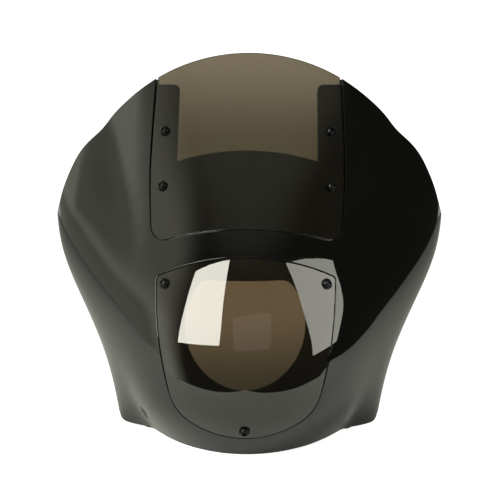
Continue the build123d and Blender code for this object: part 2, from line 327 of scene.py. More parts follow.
def lens_outline(grow):
    """The lens outline, or the pocket's, which is larger all round."""
    top = (0, LENS_TOP - LENS_TOP_RADIUS)
    side = (LENS_HALF_WIDTH - LENS_SIDE_RADIUS, lens_corner_height)
    bottom = (0, LENS_BOTTOM + LENS_BOTTOM_RADIUS)
    upper, lower = LENS_UPPER_CORNER_RADIUS, LENS_LOWER_CORNER_RADIUS
    upper_corner = meeting(top, LENS_TOP_RADIUS - upper, side, LENS_SIDE_RADIUS - upper)
    lower_corner = meeting(side, LENS_SIDE_RADIUS - lower, bottom, LENS_BOTTOM_RADIUS - lower)
    top_end, side_start = angle_of(upper_corner, top), angle_of(upper_corner, side)
    side_end, bottom_start = angle_of(lower_corner, side), angle_of(lower_corner, bottom)
    right = np.concatenate([
        arc(top, LENS_TOP_RADIUS + grow, 90, top_end),
        arc(upper_corner, upper + grow, top_end, side_start, TIGHT_CORNER_STEP),
        arc(side, LENS_SIDE_RADIUS + grow, side_start, side_end),
        arc(lower_corner, lower + grow, side_end, bottom_start),
        arc(bottom, LENS_BOTTOM_RADIUS + grow, bottom_start, -90),
    ])
    return outline(mirrored(right))


def screen_outline(grow, top_right):
    """The windscreen outline, or the pocket's, closed at the top by the given points from right to middle."""
    below = (0, SCREEN_BOTTOM - SCREEN_BOTTOM_RADIUS)
    corner_x = SCREEN_HALF_WIDTH - SCREEN_CORNER_RADIUS
    corner_reach = SCREEN_BOTTOM_RADIUS + SCREEN_CORNER_RADIUS
    corner = (corner_x, below[1] + math.sqrt(corner_reach**2 - corner_x**2))
    right = np.concatenate([
        arc(below, SCREEN_BOTTOM_RADIUS - grow, 90, angle_of(corner, below)),
        arc(corner, SCREEN_CORNER_RADIUS + grow, angle_of(below, corner), 0, WIDE_CORNER_STEP),
        top_right,
    ])
    return outline(mirrored(right))


crown = (0, TOP_HEIGHT - TOP_ARC_RADIUS)


def crown_arc(half):
    """The top edge from a place on its right to the middle."""
    return arc(crown, TOP_ARC_RADIUS, math.degrees(math.acos(half / TOP_ARC_RADIUS)), 90)


def notch_outline():
    """The notch between the posts, open at the top, with the part above the posts."""
    half = SCREEN_HALF_WIDTH - POST_WIDTH
    floor = (0, NOTCH_FLOOR - NOTCH_FLOOR_RADIUS)
    post = (half + POST_CORNER_RADIUS, POST_TOP - POST_CORNER_RADIUS)
    pocket_half = SCREEN_HALF_WIDTH + PANEL_GAP
    right = np.concatenate([
        arc(floor, NOTCH_FLOOR_RADIUS, 90, math.degrees(math.acos(half / NOTCH_FLOOR_RADIUS))),
        arc(post, POST_CORNER_RADIUS, 180, 90, CORNER_STEP),
        [(pocket_half, POST_TOP), (pocket_half, OPEN_HEIGHT), (0, OPEN_HEIGHT)],
    ])
    return outline(mirrored(right))


def lamp_hole_outline():
    """The headlight hole: round, with a flat top and rounded upper corners."""
    centre = (0, LAMP_HOLE_HEIGHT)
    reach = LAMP_HOLE_RADIUS - LAMP_HOLE_CORNER_RADIUS
    rise = reach - LAMP_HOLE_FLAT
    corner = (math.sqrt(reach**2 - rise**2), LAMP_HOLE_HEIGHT + rise)
    right = np.concatenate([
        [(0, corner[1] + LAMP_HOLE_CORNER_RADIUS)],
        arc(corner, LAMP_HOLE_CORNER_RADIUS, 90, angle_of(corner, centre), CORNER_STEP),
        arc(centre, LAMP_HOLE_RADIUS, angle_of(corner, centre), -90),
    ])
    return outline(mirrored(right))


def shell_outline():
    """The whole edge of the cowl: chin, legs, rear edge of the sides, ears and crown."""
    ear = [(TOP_ARC_HALF, TOP_HEIGHT - drop(TOP_ARC_RADIUS, TOP_ARC_HALF)), *EAR_EDGE, EAR_FOOT]
    ear = np.array(ear, float)[::-1]
    lengths = np.concatenate([[0], np.cumsum(np.hypot(*np.diff(ear, axis=0).T))])
    aside, above = ear[-1] - crown
    reach = math.hypot(aside, above)
    ear_x = cubic_spline(lengths, ear[:, 0], (0, -above / reach))
    ear_z = cubic_spline(lengths, ear[:, 1], (1, aside / reach))
    along = np.linspace(0, lengths[-1], EAR_POINTS)
    ear = np.stack([ear_x(along), ear_z(along)], axis=-1)
    ear = ear[ear[:, 0] < wing_half_width(ear[:, 1])]
    leg = (LEG_CORNER[0] - LEG_CORNER_RADIUS, LEG_CORNER[1] + LEG_CORNER_RADIUS)
    leg_corner = arc(leg, LEG_CORNER_RADIUS, LEG_CORNER_START, 0, TIGHT_CORNER_STEP)
    leg_corner = leg_corner[leg_corner[:, 0] < wing_half_width(leg_corner[:, 1])]
    heights = np.linspace(leg_corner[-1][1], ear[0][1], REAR_EDGE_POINTS)
    depths, levels = zip(REAR_EDGE_FOOT, REAR_EDGE_TOP)
    rear_edge = np.interp(heights, levels, depths)
    rim = surface(np.stack([np.full_like(heights, SPAN), heights], axis=-1))[:, 1]
    sides = np.stack([SPAN * (1 + (rear_edge - rim) / SIDE_RUN), heights], axis=-1)
    chin = np.array([(0, 0), (CHIN_HALF, 0)], float)
    right = np.concatenate([
        front(chin[:, 0], chin[:, 1]),
        front(leg_corner[:, 0], leg_corner[:, 1]),
        sides,
        front(ear[:, 0], ear[:, 1]),
        front(*crown_arc(TOP_ARC_HALF).T)[1:],
    ])
    return spaced(mirrored(right))


def screw_seat(x, z):
    """Where a screw sits: its point on the surface, two directions across its hole and the outward one."""
    net = front(x, z)
    along_s, _ = surface_slopes(net)
    outward = surface_normal(net)
    across = along_s / np.linalg.norm(along_s)
    return surface(net), across, np.cross(outward, across), outward


def hole_outline(seat):
    """The outline of a screw's hole."""
    point, across, up, _ = seat
    turns = HOLE_TURNS[:, None]
    ring = point + HOLE_RADIUS * (np.cos(turns) * across + np.sin(turns) * up)
    return front(ring[:, 0], ring[:, 2])


# Layered meshes: one net of triangles, which each piece of wall takes at its own depths

def inside(points, closed):
    """Which points lie inside a closed outline."""
    found = np.zeros(len(points), bool)
    for here, ahead in zip(closed, np.roll(closed, -1, axis=0)):
        if here[1] == ahead[1]:
            continue
        level = (here[1] > points[:, 1]) != (ahead[1] > points[:, 1])
        cross = here[0] + (ahead[0] - here[0]) * (points[:, 1] - here[1]) / (ahead[1] - here[1])
        found ^= level & (points[:, 0] < cross)
    return found


def beside(closed, distance):
    """An outline moved along the surface to its left, or to its right with a negative distance."""
    along = np.roll(closed, -1, axis=0) - np.roll(closed, 1, axis=0)
    along_s, along_z = surface_slopes(closed)
    across_s = np.sum(along_s * along_s, axis=1)
    both = np.sum(along_s * along_z, axis=1)
    across_z = np.sum(along_z * along_z, axis=1)
    left = np.stack([
        -(both * along[:, 0] + across_z * along[:, 1]),
        across_s * along[:, 0] + both * along[:, 1],
    ], axis=-1)
    length = np.sqrt(across_s * left[:, 0]**2 + 2 * both * left[:, 0] * left[:, 1] + across_z * left[:, 1]**2)
    return closed + left / length[:, None] * distance


def left_turning(closed):
    """The outline so that its inside lies to its left."""
    ahead = np.roll(closed, -1, axis=0)
    area = np.sum(closed[:, 0] * ahead[:, 1] - ahead[:, 0] * closed[:, 1])
    return closed if area > 0 else closed[::-1]


def triangle_net(edges):
    """Triangles over outlines and the field between them. An edge is (outline, rounding, side, layer mark).

    Returns net points, triangles, how deep the rounding lowers each point, and the layer mark of that edge.
    """
    points, links, lowered, marks = [], [], [], []
    for closed, rounding, side, mark in edges:
        closed = left_turning(closed)
        rings = [(closed, rounding)]
        if rounding:
            rings.append((beside(closed, side * rounding * ARC_MIDDLE), rounding * ARC_MIDDLE))
            rings.append((beside(closed, side * rounding), 0))
        for ring, depth in rings:
            first = len(points)
            points += list(ring)
            lowered += [depth] * len(ring)
            marks += [mark] * len(ring)
            links += [(first + i, first + (i + 1) % len(ring)) for i in range(len(ring))]
    fixed = np.array(points)
    low = fixed.min(axis=0)
    high = fixed.max(axis=0)
    rows = np.arange(low[1], high[1], NET_ROW)
    field = []
    for number, row in enumerate(rows):
        columns = np.arange(low[0] + NET_STEP * 0.5 * (number % 2), high[0], NET_STEP)
        field.append(np.stack([columns, np.full_like(columns, row)], axis=-1))
    field = np.concatenate(field)
    taken = {tuple(key) for key in np.floor(fixed / NET_CLEAR).astype(int)}
    keys = np.floor(field / NET_CLEAR).astype(int)
    near = [
        any((key[0] + i, key[1] + j) in taken for i in (-1, 0, 1) for j in (-1, 0, 1)) for key in keys
    ]
    field = field[~np.array(near)]
    flat = [Vector(point) for point in np.concatenate([fixed, field])]
    found, _, faces, origins, _, _ = delaunay_2d_cdt(flat, links, [], 0, NET_MERGE)
    net = np.array([tuple(point) for point in found])
    triangles = np.array(faces)
    depth = np.zeros(len(net))
    mark = np.zeros(len(net), int)
    for number, sources in enumerate(origins):
        for source in sources:
            if source < len(fixed) and lowered[source] >= depth[number]:
                depth[number] = lowered[source]
                mark[number] = marks[source]
    corners = net[triangles]
    first, second = corners[:, 1] - corners[:, 0], corners[:, 2] - corners[:, 0]
    backwards = first[:, 0] * second[:, 1] - first[:, 1] * second[:, 0] < 0
    triangles[backwards] = triangles[backwards][:, ::-1]
    return net, triangles, depth, mark


def layered_mesh(name, net, triangles, outer, inner, depth, mark, rounded, inner_slot=0):
    """A closed wall over the triangles, from each one's outer depth to its inner depth.

    rounded holds (layer mark, depth, facing) of the layers whose edges the rounding lowers.
    inner_slot is the material slot of the inner faces.
    """
    places = surface(net)
    normals = surface_normal(net)
    index, at_point, vertices, vertex_normals = {}, {}, [], []

    def vertex(point, layer, facing):
        key = (point, layer, facing)
        if key not in index:
            lower = depth[point] if (mark[point], layer, facing) in rounded else 0
            index[key] = len(vertices)
            at_point.setdefault(point, set()).add((layer, facing))
            vertices.append((places[point] - normals[point] * (layer + facing * lower)) * MM)
            vertex_normals.append(normals[point] * facing if lower == 0 else (0, 0, 0))
        return index[key]

    faces, kinds = [], []
    owner = {}
    for number, (a, b, c) in enumerate(triangles.tolist()):
        faces.append([vertex(point, outer[number], OUTWARD) for point in (a, b, c)])
        faces.append([vertex(point, inner[number], INWARD) for point in (c, b, a)])
        kinds += [OUTER_FACE, INNER_FACE]
        for edge in ((a, b), (b, c), (c, a)):
            owner[edge] = number

    def levels(point, top, bottom):
        between = sorted(level for level in at_point[point] if top[0] < level[0] < bottom[0])
        return [vertex(point, *level) for level in (top, *between, bottom)]

    walls = []
    for (a, b), number in owner.items():
        other = owner.get((b, a))
        top, bottom = (outer[number], OUTWARD), (inner[number], INWARD)
        if other is None:
            walls.append((a, b, top, bottom))
            continue
        other_top, other_bottom = (outer[other], OUTWARD), (inner[other], INWARD)
        if top[0] < other_top[0]:
            walls.append((a, b, top, other_top))
        if other_bottom[0] < bottom[0]:
            walls.append((a, b, other_bottom, bottom))
    for a, b, top, bottom in walls:
        faces.append(levels(a, top, bottom) + levels(b, top, bottom)[::-1])
        kinds.append(SIDE_FACE)

    mesh = bpy.data.meshes.new(name)
    mesh.from_pydata([tuple(v) for v in vertices], [], faces)
    mesh.polygons.foreach_set("use_smooth", [True] * len(faces))
    mesh.polygons.foreach_set("material_index", [inner_slot * (kind == INNER_FACE) for kind in kinds])
    mesh.update()
    mesh.set_sharp_from_angle(angle=MOULDED_CREASE)
    loop_normals = []
    for polygon, kind in zip(mesh.polygons, kinds):
        for point in polygon.vertices:
            loop_normals.append(tuple(vertex_normals[point]) if kind != SIDE_FACE else (0, 0, 0))
    mesh.normals_split_custom_set(loop_normals)
    return mesh


def new_piece(name, mesh, *materials):
    """An object of the scene from a mesh and its materials."""
    piece = bpy.data.objects.new(name, mesh)
    scene.collection.objects.link(piece)
    for material in materials:
        mesh.materials.append(material)
    return piece


# Shader maths: a socket with operators, and one method for any other node

class Value:
    """A socket of a node tree. An expression on it adds its Math nodes."""

    def __init__(self, graph, socket):
        self.graph = graph
        self.socket = socket

    def math(self, operation, other, swapped=False):
        pair = (other, self) if swapped else (self, other)
        return self.graph.node("ShaderNodeMath", {"operation": operation}, {0: pair[0], 1: pair[1]})

    def __add__(self, other):
        return self.math("ADD", other)

    def __radd__(self, other):
        return self.math("ADD", other, True)

    def __sub__(self, other):
        return self.math("SUBTRACT", other)

    def __rsub__(self, other):
        return self.math("SUBTRACT", other, True)

    def __mul__(self, other):
        return self.math("MULTIPLY", other)

    def __rmul__(self, other):
        return self.math("MULTIPLY", other, True)


class Graph:
    """The node tree of a material or a world, around its shader."""

    def __init__(self, owner, shader="Principled BSDF"):
        self.owner = owner
        owner.use_nodes = True
        self.tree = owner.node_tree
        self.shader = self.tree.nodes[shader]

    def node(self, kind, settings, inputs, output=0):
        made = self.tree.nodes.new(kind)
        for key, setting in settings.items():
            setattr(made, key, setting)
        for key, value in inputs.items():
            self.feed(made.inputs[key], value)
        return Value(self, made.outputs[output])

    def feed(self, socket, value):
        if isinstance(value, Value):
            self.tree.links.new(value.socket, socket)
        else:
            socket.default_value = value

    def set(self, **sockets):
        for key, value in sockets.items():
            self.feed(self.shader.inputs[key.replace("_", " ")], value)

    def place(self):
        return self.node("ShaderNodeTexCoord", {}, {}, "Object")

    def noise(self, scale, detail, roughness):
        inputs = {"Vector": self.place(), "Scale": scale, "Detail": detail, "Roughness": roughness}
        return self.node("ShaderNodeTexNoise", {}, inputs, "Fac")

    def between(self, value, low, high, to_low, to_high):
        inputs = {"Value": value, "From Min": low, "From Max": high, "To Min": to_low, "To Max": to_high}
        return self.node("ShaderNodeMapRange", {"interpolation_type": "SMOOTHSTEP"}, inputs)

    def mix(self, factor, first, second):
        first, second = [colour if isinstance(colour, Value) else (*colour, 1) for colour in (first, second)]
        return self.node("ShaderNodeMix", {"data_type": "RGBA"}, {0: factor, 6: first, 7: second}, 2)

    def ray(self, kind):
        return self.node("ShaderNodeLightPath", {}, {}, kind)

    def bump(self, height, strength, distance):
        inputs = {"Height": height, "Strength": strength, "Distance": distance}
        return self.node("ShaderNodeBump", {}, inputs, "Normal")


def new_finish(name):
    return Graph(bpy.data.materials.new(name))


def gloss_black_plastic():
    """Polished black plastic: a deep gloss with a faint ripple from the mould, and hazy wiped patches."""
    g = new_finish("gloss_black_plastic")
    haze = g.between(g.noise(9, detail=3, roughness=0.6), 0.42, 0.75, 0, 1)
    g.set(
        Base_Color=g.mix(haze, (0.0018, 0.0020, 0.0016), (0.0032, 0.0035, 0.0028)),
        Roughness=0.020 + 0.030 * haze,
        IOR=1.5,
        Specular_IOR_Level=1.0,
        Normal=g.bump(g.noise(55, detail=1, roughness=0.4), strength=0.045, distance=0.0012),
    )
    return g.owner


def grained_black_plastic():
    """The inside of the moulding: dull black with a fine grain and slow flow marks."""
    g = new_finish("grained_black_plastic")
    grain = g.noise(1400, detail=2, roughness=0.6)
    flow = g.noise(14, detail=3, roughness=0.6)
    g.set(
        Base_Color=g.mix(flow, (0.034, 0.034, 0.034), (0.054, 0.054, 0.052)),
        Roughness=0.42 + 0.22 * grain,
        Normal=g.bump(grain + 0.6 * flow, strength=0.35, distance=0.0003),
    )
    return g.owner


def smoked_acrylic(name, tint, painted_shade_tint, low, high):
    """Polished brown-grey acrylic, darker towards its lower edge, where the tint carries painted shade."""
    g = new_finish(name)
    height = g.node("ShaderNodeSeparateXYZ", {}, {0: g.place()}, "Z")
    wiped = g.between(g.noise(11, detail=3, roughness=0.6), 0.45, 0.8, 0, 1)
    g.set(
        # The base colour darkens from high down to low: painted shade, not the acrylic's own tint.
        Base_Color=g.mix(g.between(height, low, high, 0, 1), painted_shade_tint, tint),
        Roughness=0.004 + 0.014 * wiped,
        IOR=1.49,
        Transmission_Weight=1.0,
        Coat_Weight=1.0,
        Coat_IOR=1.6,
        Coat_Roughness=0.004,
        Normal=g.bump(g.noise(24, detail=1, roughness=0.4), strength=0.03, distance=0.001),
    )
    return g.owner


def plated_steel(name, light, dark, roughness):
    """Plated steel with a slight mottle and fine scratches from handling."""
    g = new_finish(name)
    mottle = g.noise(420, detail=3, roughness=0.6)
    scratch = g.noise(2600, detail=2, roughness=0.7)
    g.set(
        Base_Color=g.mix(mottle, dark, light),
        Metallic=1.0,
        Roughness=roughness + 0.16 * scratch,
        Normal=g.bump(scratch, strength=0.12, distance=0.0001),
    )
    return g.owner


gloss_black = gloss_black_plastic()
grained_black = grained_black_plastic()
# The second, deeper tint of each sheet is painted shade at its lower edge.
smoked_screen = smoked_acrylic(
    "smoked_screen", tint=(0.150, 0.121, 0.082), painted_shade_tint=(0.053, 0.042, 0.022), low=0.33, high=0.45
)
smoked_lens = smoked_acrylic(
    "smoked_lens", tint=(0.098, 0.068, 0.037), painted_shade_tint=(0.034, 0.028, 0.015), low=0.08, high=0.17
)
black_steel = plated_steel("black_steel", (0.045, 0.045, 0.048), (0.02, 0.02, 0.022), 0.24)
zinc_steel = plated_steel("zinc_steel", (0.62, 0.63, 0.65), (0.48, 0.49, 0.50), 0.26)
turned_brass = plated_steel("turned_brass", (0.78, 0.58, 0.27), (0.62, 0.44, 0.18), 0.24)

# Seats and outlines
screen_seats = [
    screw_seat(side * (SCREEN_HALF_WIDTH - SCREEN_SCREW_INSET), height)
    for height in SCREEN_SCREW_HEIGHTS
    for side in (-1, 1)
]
lens_seats = [
    screw_seat(LENS_SCREW_INSET - LENS_HALF_WIDTH, lens_corner_height - LENS_SCREW_DROP),
    screw_seat(LENS_HALF_WIDTH - LENS_SCREW_INSET, lens_corner_height - LENS_SCREW_DROP),
    screw_seat(0, LENS_BOTTOM + LENS_SCREW_INSET),
]
screen_holes = [hole_outline(seat) for seat in screen_seats]
lens_holes = [hole_outline(seat) for seat in lens_seats]
open_top = np.array([(SCREEN_HALF_WIDTH + PANEL_GAP, OPEN_HEIGHT), (0, OPEN_HEIGHT)])
open_top_back = np.array([(SCREEN_HALF_WIDTH + PANEL_GAP + WALL, OPEN_HEIGHT), (0, OPEN_HEIGHT)])
cowl_edge = shell_outline()
screen_pocket = screen_outline(PANEL_GAP, open_top)
screen_pocket_back = screen_outline(PANEL_GAP + WALL, open_top_back)
lens_pocket = lens_outline(PANEL_GAP)
lens_pocket_back = lens_outline(PANEL_GAP + WALL)
notch = notch_outline()
lamp_hole = lamp_hole_outline()


def any_inside(points, *outlines):
    """Which points lie inside at least one of the outlines."""
    return np.logical_or.reduce([inside(points, closed) for closed in outlines])


def moulded_shell():
    """The shell: its wall steps back behind both panels, and is open at the notch and the headlight hole."""
    plain, rim, pocket, opening = range(4)
    edges = [
        (cowl_edge, RIM_ROUNDING, 1, rim),
        (screen_pocket, POCKET_ROUNDING, -1, pocket),
        (lens_pocket, POCKET_ROUNDING, -1, pocket),
        (notch, POCKET_ROUNDING, -1, opening),
        (lamp_hole, POCKET_ROUNDING, -1, opening),
        (screen_pocket_back, 0, 1, plain),
        (lens_pocket_back, 0, 1, plain),
    ]
    edges += [(hole, 0, 1, plain) for hole in screen_holes + lens_holes]
    net, triangles, depth, mark = triangle_net(edges)
    middles = net[triangles].mean(axis=1)
    solid = inside(middles, cowl_edge) & ~any_inside(middles, notch, lamp_hole, *screen_holes, *lens_holes)
    triangles, middles = triangles[solid], middles[solid]
    in_pocket = any_inside(middles, screen_pocket, lens_pocket)
    in_back = any_inside(middles, screen_pocket_back, lens_pocket_back)
    outer = np.where(in_pocket, pocket_depth, 0.0).tolist()
    inner = np.where(in_back, shell_back, WALL).tolist()
    rounded = {
        (rim, 0.0, OUTWARD),
        (rim, WALL, INWARD),
        (rim, shell_back, INWARD),
        (pocket, 0.0, OUTWARD),
        (opening, pocket_depth, OUTWARD),
    }
    return layered_mesh("cowl_shell_skin", net, triangles, outer, inner, depth, mark, rounded, inner_slot=1)


def flush_panel(name, closed, holes):
    """A flush panel with its outline rounded on both faces; the screw holes keep sharp edges."""
    plain, rim = 0, 1
    edges = [(closed, PANEL_ROUNDING, 1, rim)] + [(hole, 0, 1, plain) for hole in holes]
    net, triangles, depth, mark = triangle_net(edges)
    middles = net[triangles].mean(axis=1)
    triangles = triangles[inside(middles, closed) & ~any_inside(middles, *holes)]
    outer = [0.0] * len(triangles)
    inner = [PANEL_THICKNESS] * len(triangles)
    rounded = {(rim, 0.0, OUTWARD), (rim, PANEL_THICKNESS, INWARD)}
    return layered_mesh(name, net, triangles, outer, inner, depth, mark, rounded)


screen_edge = screen_outline(0, crown_arc(SCREEN_HALF_WIDTH))
screen_sheet = flush_panel("windscreen_sheet", screen_edge, screen_holes)
lens_sheet = flush_panel("lens_sheet", lens_outline(0), lens_holes)
shell_piece = new_piece("moulded_shell", moulded_shell(), gloss_black, grained_black)
screen_piece = new_piece("smoked_windscreen", screen_sheet, smoked_screen)
lens_piece = new_piece("smoked_headlight_lens", lens_sheet, smoked_lens)


# Bosses inside the shell

def bracket_boss(builder, x, face, z):
    """A round boss from the inside of the wall to its face, with the blind hole of the insert."""
    hole = INSERT_RADIUS + INSERT_FIT
    hole_end = face - (INSERT_LENGTH - INSERT_PROUD) - INSERT_FIT
    profile = [
        (BOSS_RADIUS, None),
        (BOSS_RADIUS, face - BOSS_ROUNDING),
        (BOSS_RADIUS - BOSS_ROUNDING * ARC_MIDDLE, face - BOSS_ROUNDING * ARC_MIDDLE),
        (BOSS_RADIUS - BOSS_ROUNDING, face),
        (hole, face),
        (hole, hole_end),
    ]
    rings = []
    for radius, y in profile:
        ring = []
        for turn in BOSS_TURNS:
            ring_x = x + radius * math.cos(turn)
            ring_z = z + radius * math.sin(turn)
            net = front(ring_x, ring_z)
            wall = surface(net)[1] + BOSS_ROOT / -surface_normal(net)[1]
            ring.append(builder.verts.new(Vector((ring_x, wall if y is None else y, ring_z)) * MM))
        rings.append(ring)
    for first, second in zip(rings, rings[1:]):
        for i in range(len(first)):
            j = (i + 1) % len(first)
            builder.faces.new((first[i], first[j], second[j], second[i]))
    builder.faces.new(rings[0])
    builder.faces.new(rings[-1])


builder = bmesh.new()
for side in (-1, 1):
    for boss_x, boss_face, boss_z in (LOWER_BOSS, UPPER_BOSS):
        bracket_boss(builder, side * boss_x, boss_face, boss_z)
bmesh.ops.recalc_face_normals(builder, faces=builder.faces)
boss_mesh = bpy.data.meshes.new("bracket_bosses")
builder.to_mesh(boss_mesh)
builder.free()
boss_mesh.polygons.foreach_set("use_smooth", [True] * len(boss_mesh.polygons))
boss_mesh.set_sharp_from_angle(angle=MOULDED_CREASE)
boss_piece = new_piece("bracket_bosses", boss_mesh, grained_black)


# Fasteners: one tree turns a profile round its axis and sets it on every seat

def turned_fastener_tree():
    """A tree that turns the points of a profile into rings and sets the closed result on every seat."""
    tree = bpy.data.node_groups.new("turned fastener", "GeometryNodeTree")

    def socket(name, kind, way="INPUT"):
        tree.interface.new_socket(name, in_out=way, socket_type=kind)

    socket("Geometry", "NodeSocketGeometry", "OUTPUT")
    socket("Seats", "NodeSocketGeometry")
    socket("Profile", "NodeSocketObject")
    socket("Segments", "NodeSocketInt")
    socket("Lift", "NodeSocketFloat")
    socket("Finish", "NodeSocketMaterial")

    def node(kind, settings, inputs):
        made = tree.nodes.new(kind)
        for key, setting in settings.items():
            setattr(made, key, setting)
        for key, value in inputs.items():
            if isinstance(value, bpy.types.NodeSocket):
                tree.links.new(value, made.inputs[key])
            else:
                made.inputs[key].default_value = value
        return made

    def maths(operation, first, second=0.0):
        return node("ShaderNodeMath", {"operation": operation}, {0: first, 1: second}).outputs[0]

    given = node("NodeGroupInput", {}, {}).outputs
    profile = node("GeometryNodeObjectInfo", {"transform_space": "ORIGINAL"}, {"Object": given["Profile"]})
    profile = profile.outputs["Geometry"]
    counted = node("GeometryNodeAttributeDomainSize", {"component": "MESH"}, {"Geometry": profile})
    rings = counted.outputs["Point Count"]
    columns = maths("ADD", given["Segments"], 1.0)
    grid = node("GeometryNodeMeshGrid", {}, {
        "Size X": 1.0, "Size Y": 1.0, "Vertices X": columns, "Vertices Y": rings,
    })
    place = node("ShaderNodeSeparateXYZ", {}, {0: node("GeometryNodeInputPosition", {}, {}).outputs[0]})
    turn = maths("MULTIPLY", maths("ADD", place.outputs["X"], 0.5), math.tau)
    ring = maths("MULTIPLY", maths("ADD", place.outputs["Y"], 0.5), maths("SUBTRACT", rings, 1.0))
    sample = node(
        "GeometryNodeSampleIndex",
        {"data_type": "FLOAT_VECTOR", "domain": "POINT"},
        {
            "Geometry": profile,
            "Value": node("GeometryNodeInputPosition", {}, {}).outputs[0],
            "Index": maths("ROUND", ring),
        },
    )
    sized = node("ShaderNodeSeparateXYZ", {}, {0: sample.outputs[0]}).outputs
    # A hexagon's radius grows from the middle of each flat to its corners
    sixth = math.pi / 3
    from_flat = maths("SUBTRACT", maths("FLOORED_MODULO", maths("ADD", turn, sixth / 2), sixth), sixth / 2)
    longer = maths("SUBTRACT", maths("DIVIDE", 1.0, maths("COSINE", from_flat)), 1.0)
    radius = maths("MULTIPLY", sized["X"], maths("ADD", 1.0, maths("MULTIPLY", sized["Y"], longer)))
    turned = node("ShaderNodeCombineXYZ", {}, {
        "X": maths("MULTIPLY", radius, maths("COSINE", turn)),
        "Y": maths("MULTIPLY", radius, maths("SINE", turn)),
        "Z": sized["Z"],
    })
    shaped = node("GeometryNodeSetPosition", {}, {
        "Geometry": grid.outputs["Mesh"], "Position": turned.outputs[0],
    })
    closed = node("GeometryNodeMergeByDistance", {}, {"Geometry": shaped.outputs[0], "Distance": RING_MERGE})
    outward = node("GeometryNodeInputNamedAttribute", {"data_type": "FLOAT_VECTOR"}, {"Name": "outward"})
    twist = node("GeometryNodeInputNamedAttribute", {"data_type": "FLOAT"}, {"Name": "twist"})
    upright = node("FunctionNodeAlignRotationToVector", {"axis": "Z"}, {
        "Vector": outward.outputs["Attribute"],
    })
    twisted = node("ShaderNodeCombineXYZ", {}, {"Z": twist.outputs["Attribute"]})
    spin = node("FunctionNodeEulerToRotation", {}, {0: twisted.outputs[0]})
    rotation = node(
        "FunctionNodeRotateRotation",
        {"rotation_space": "LOCAL"},
        {"Rotation": upright.outputs[0], "Rotate By": spin.outputs[0]},
    )
    set_out = node("GeometryNodeInstanceOnPoints", {}, {
        "Points": given["Seats"], "Instance": closed.outputs[0], "Rotation": rotation.outputs[0],
    })
    lift = node("ShaderNodeCombineXYZ", {}, {"Z": given["Lift"]})
    lifted = node("GeometryNodeTranslateInstances", {}, {
        "Instances": set_out.outputs[0], "Translation": lift.outputs[0], "Local Space": True,
    })
    real = node("GeometryNodeRealizeInstances", {}, {"Geometry": lifted.outputs[0]})
    finished = node("GeometryNodeSetMaterial", {}, {"Geometry": real.outputs[0], "Material": given["Finish"]})
    node("NodeGroupOutput", {}, {0: finished.outputs[0]})
    return tree


fastener_tree = turned_fastener_tree()


def turned_fastener(name, profile, seats, lift, finish):
    """A fastener on every seat. A profile point is (radius, 1 where the ring is a hexagon, height)."""
    line = bpy.data.meshes.new(name + "_profile")
    line.from_pydata([(radius * MM, hexagon, height * MM) for radius, hexagon, height in profile], [], [])
    line_object = bpy.data.objects.new(name + "_profile", line)
    scene.collection.objects.link(line_object)
    points = bpy.data.meshes.new(name + "_seats")
    points.from_pydata([tuple(seat[0] * MM) for seat in seats], [], [])
    outward = points.attributes.new("outward", "FLOAT_VECTOR", "POINT")
    outward.data.foreach_set("vector", np.concatenate([seat[3] for seat in seats]))
    twist = points.attributes.new("twist", "FLOAT", "POINT")
    twist.data.foreach_set("value", [FIRST_TWIST + NEXT_TWIST * number for number in range(len(seats))])
    maker = bpy.data.objects.new(name + "_maker", points)
    scene.collection.objects.link(maker)
    modifier = maker.modifiers.new("turned fastener", "NODES")
    modifier.node_group = fastener_tree
    given = {"Profile": line_object, "Segments": FASTENER_SEGMENTS, "Lift": lift * MM, "Finish": finish}
    for item in fastener_tree.interface.items_tree:
        if item.in_out == "INPUT" and item.name in given:
            modifier[item.identifier] = given[item.name]
    evaluated = maker.evaluated_get(bpy.context.evaluated_depsgraph_get())
    mesh = bpy.data.meshes.new_from_object(evaluated)
    for helper in (maker, line_object):
        bpy.data.objects.remove(helper)
    builder = bmesh.new()
    builder.from_mesh(mesh)
    bmesh.ops.dissolve_degenerate(builder, edges=builder.edges, dist=FLAT_FACE)
    bmesh.ops.recalc_face_normals(builder, faces=builder.faces)
    builder.to_mesh(mesh)
    builder.free()
    mesh.polygons.foreach_set("use_smooth", [True] * len(mesh.polygons))
    mesh.set_sharp_from_angle(angle=TURNED_CREASE)
    mesh.name = name
    return new_piece(name, mesh)


def screw_profile():
    """From the tip: a short threaded end, the shank, the domed head and its hexagon socket."""
    top = head_seat + HEAD_HEIGHT
    profile = [(0, 0, -screw_tip), (THREAD_RADIUS - TIP_CHAMFER, 0, -screw_tip)]
    for turn in range(THREAD_TURNS_SHOWN):
        start = -screw_tip + TIP_LENGTH + turn * THREAD_PITCH
        profile += [(THREAD_RADIUS - THREAD_DEPTH, 0, start), (THREAD_RADIUS, 0, start + THREAD_PITCH / 2)]
    profile += [
        (THREAD_RADIUS, 0, head_seat),
        (HEAD_RADIUS - HEAD_EASE, 0, head_seat),
        (HEAD_RADIUS, 0, head_seat + HEAD_EASE),
        (HEAD_RADIUS, 0, head_seat + HEAD_RIM),
    ]
    for part in np.linspace(0, 1, HEAD_RINGS)[1:]:
        radius = HEAD_RADIUS + (HEAD_FLAT_RADIUS - HEAD_RADIUS) * part
        rise = HEAD_RIM + (HEAD_HEIGHT - HEAD_RIM) * (part + HEAD_BULGE * part * (1 - part))
        profile.append((radius, 0, head_seat + rise))
    flat = SOCKET_FLATS / 2
    profile += [
        (flat + SOCKET_CHAMFER, 1, top),
        (flat, 1, top - SOCKET_CHAMFER),
        (flat, 1, top - SOCKET_DEPTH),
        (0, 0, top - SOCKET_DEPTH - SOCKET_POINT),
    ]
    return profile


